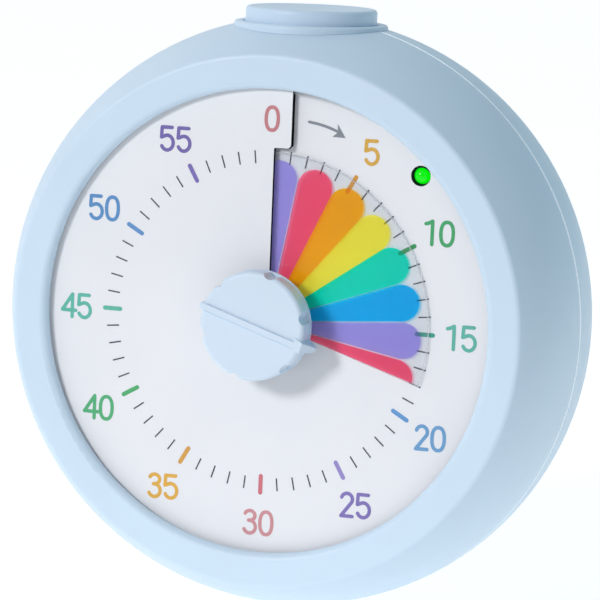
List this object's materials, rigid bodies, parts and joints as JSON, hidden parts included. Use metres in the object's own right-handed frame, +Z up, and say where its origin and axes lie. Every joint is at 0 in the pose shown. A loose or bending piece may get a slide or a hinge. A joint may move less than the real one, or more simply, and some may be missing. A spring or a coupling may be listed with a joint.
{
  "type": "visual countdown timer",
  "caption": "Round case on a flat foot with a knob that winds a coloured petal disc out of a slit in a minute dial, and a push button on top.",
  "frame": {"origin": "middle of the flat foot, under the widest section of the case", "axes": "+Z up, the dial faces -Y, +X is to the right of someone reading the dial"},
  "size_m": [0.1, 0.0452, 0.1003],
  "materials": {
    "case_plastic": "fine matt moulding, pale blue",
    "dial_plastic": "fine matt, off-white",
    "printed_film": "clear glossy film printed with coloured petals",
    "inner_plastic": "plain moulding",
    "movement_plastic": "dark moulding",
    "gear_plastic": "natural acetal",
    "dark_plastic": "black moulding",
    "board_laminate": "green lacquered laminate",
    "green_lens": "clear green resin",
    "steel": "plated",
    "spring_steel": "nickel plated spring strip and wire",
    "motor_steel": "drawn can",
    "brass": "turned",
    "cell_metal": "plain sleeve over a steel can"
  },
  "bodies": {
    "case": {"battery_cells": "cell_metal", "board_screws": "steel", "button_collar": "case_plastic", "button_spring": "spring_steel", "buzzer": "dark_plastic", "case_screws": "steel", "circuit_board": "board_laminate", "contact_bridge": "spring_steel", "contact_terminals": "spring_steel", "control_chip": "dark_plastic", "control_chip_pins": "steel", "dial_plate": "dial_plastic", "frame_screws": "steel", "front_shell": "case_plastic", "idler_shaft": "steel", "inner_frame": "inner_plastic", "led_holder": "dark_plastic", "led_legs": "steel", "led_lens": "green_lens", "motor": "motor_steel", "movement_base": "movement_plastic", "movement_cover": "movement_plastic", "movement_screws": "steel", "rear_cover": "case_plastic", "tact_switch": "dark_plastic", "volume_switch": "dark_plastic"},
    "knob": {"knob": "case_plastic", "spindle": "steel", "output_gear": "gear_plastic", "clutch_washer": "spring_steel", "retaining_clip": "spring_steel"},
    "film": {"film_disc": "printed_film", "disc_hub": "inner_plastic"},
    "idler": {"idler_gear": "gear_plastic"},
    "rotor": {"motor_pinion": "brass", "motor_shaft": "steel"},
    "top_button": {"button_cap": "case_plastic", "switch_plunger": "gear_plastic"},
    "volume_slider": {"volume_slider": "inner_plastic"},
    "battery_door": {"battery_door": "case_plastic"}
  },
  "joints": [
    {"name": "knob_turn", "type": "hinge", "parent": "case", "child": "knob", "pos_m": [0, -0.02, 0.0488], "axis": [0, 1, 0], "range_deg": [-108, 252]},
    {"name": "film_follow", "type": "slide", "parent": "knob", "child": "film", "axis": [0, -1, 0], "range_m": [-0.0004, 0.00092]},
    {"name": "idler_turn", "type": "hinge", "parent": "case", "child": "idler", "pos_m": [-0.01508, -0.008, 0.0488], "axis": [0, 1, 0], "range_deg": [-1010, 434]},
    {"name": "rotor_turn", "type": "hinge", "parent": "case", "child": "rotor", "pos_m": [-0.01508, -0.006, 0.03622], "axis": [0, 1, 0], "range_deg": [-1730, 4034]},
    {"name": "button_press", "type": "slide", "parent": "case", "child": "top_button", "axis": [0, 0, -1], "range_m": [0, 0.001], "stiffness_N_per_m": 400, "springref_m": -0.0005, "deforming": ["button_spring"]},
    {"name": "volume_slide", "type": "slide", "parent": "case", "child": "volume_slider", "axis": [1, 0, 0], "range_m": [-0.002, 0.002]},
    {"name": "door_swing", "type": "hinge", "parent": "case", "child": "battery_door", "pos_m": [0, 0.0195, 0.04455], "axis": [1, 0, 0], "range_deg": [0, 60]}
  ],
  "couplings": [
    {"joint": "film_follow", "follows": "knob_turn", "m_per_rad": 0.0002069},
    {"joint": "idler_turn", "follows": "knob_turn", "ratio": -4},
    {"joint": "rotor_turn", "follows": "knob_turn", "ratio": 16}
  ]
}
